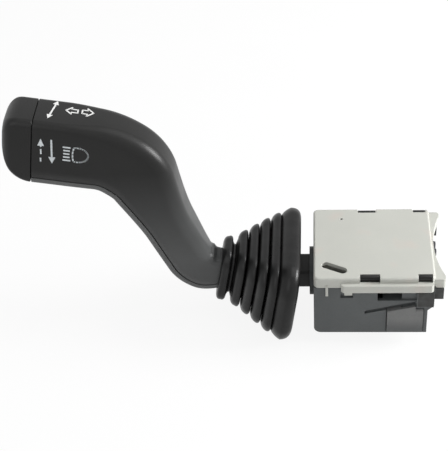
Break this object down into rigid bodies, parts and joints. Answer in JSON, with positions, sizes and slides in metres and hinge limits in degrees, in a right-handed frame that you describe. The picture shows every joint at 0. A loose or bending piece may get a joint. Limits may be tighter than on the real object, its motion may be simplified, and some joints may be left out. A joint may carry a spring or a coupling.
{
  "type": "steering column stalk switch",
  "caption": "Steering column stalk switch: cranked lever with a flat paddle, rubber bellows gaiter and a switch body with turn, dip and self-cancelling parts.",
  "frame": {"origin": "turn axis where it meets the plane of the body's base face", "axes": "+Z along the steering column towards the driver, -X towards the lever's tip, +Y away from the body's latch side"},
  "size_m": [0.1832, 0.0568, 0.112],
  "materials": {
    "cover_grey": "satin moulded, light warm grey",
    "housing_grey": "matt moulded, dark grey",
    "lever_black": "satin, fine grain",
    "lever_grey": "satin, fine grain",
    "rubber": "matt with soft highlights",
    "slider_white": "smooth, low gloss",
    "steel": "bright ground",
    "spring_steel": "drawn wire",
    "brass": "rolled strip",
    "board": "matt moulded"
  },
  "bodies": {
    "body": {"lower_housing": "housing_grey", "top_cover": "cover_grey", "turn_detent_track": "slider_white", "terminal_block": "board", "terminal_blades": "brass", "contact_board": "board", "fixed_contacts": "brass", "dip_contact_leaf": "brass", "pawl_guide": "housing_grey", "pawl_spring": "spring_steel"},
    "latch": {"release_latch": "housing_grey"},
    "carrier": {"turn_carrier": "slider_white", "dip_pin": "steel", "turn_spring": "spring_steel"},
    "turn_plunger": {"turn_plunger": "slider_white"},
    "lever": {"lever_stem": "lever_grey", "lever_upper_shell": "lever_black", "lever_lower_shell": "lever_grey", "lever_end_cap": "lever_black", "gaiter": "rubber", "dip_spring": "spring_steel"},
    "dip_plunger": {"dip_plunger": "slider_white"},
    "turn_slider": {"turn_slider": "slider_white", "bridge_contacts": "brass"},
    "dip_slider": {"dip_slider": "slider_white"},
    "pawl_carriage": {"pawl_carriage": "slider_white"},
    "cancel_pawl": {"cancel_pawl": "slider_white"}
  },
  "joints": [
    {"name": "turn", "type": "hinge", "parent": "body", "child": "carrier", "pos_m": [0, 0, 0.0156], "axis": [0, 0, 1], "range_deg": [-8, 8]},
    {"name": "dip", "type": "hinge", "parent": "carrier", "child": "lever", "pos_m": [-0.0062, 0, 0.0156], "axis": [0, 1, 0], "range_deg": [-5.5, 5.5]},
    {"name": "turn_detent", "type": "slide", "parent": "carrier", "child": "turn_plunger", "axis": [-1, 0, 0], "range_m": [0, 0.0008], "stiffness_N_per_m": 500, "deforming": ["turn_spring"]},
    {"name": "dip_detent", "type": "slide", "parent": "lever", "child": "dip_plunger", "axis": [-1, 0, 0], "range_m": [0, 0.0008], "stiffness_N_per_m": 500, "deforming": ["dip_spring"]},
    {"name": "turn_contact", "type": "slide", "parent": "body", "child": "turn_slider", "axis": [0, 1, 0], "range_m": [-0.0021, 0.0021]},
    {"name": "dip_contact", "type": "slide", "parent": "body", "child": "dip_slider", "axis": [1, 0, 0], "range_m": [-0.0012, 0.0012]},
    {"name": "pawl_out", "type": "slide", "parent": "body", "child": "pawl_carriage", "axis": [1, 0, 0], "range_m": [0, 0.0016], "stiffness_N_per_m": 300, "deforming": ["pawl_spring"]},
    {"name": "pawl_swing", "type": "hinge", "parent": "pawl_carriage", "child": "cancel_pawl", "pos_m": [0.029, 0, 0.028], "axis": [0, 0, 1], "range_deg": [-10, 10], "stiffness_Nm_per_rad": 0.01},
    {"name": "latch_press", "type": "hinge", "parent": "body", "child": "latch", "pos_m": [0.0271, -0.022, 0.0024], "axis": [1, 0, 0], "range_deg": [-5, 0], "stiffness_Nm_per_rad": 0.05}
  ],
  "couplings": [
    {"joint": "turn_contact", "follows": "turn", "m_per_rad": 0.0146},
    {"joint": "dip_contact", "follows": "dip", "m_per_rad": -0.01145}
  ]
}
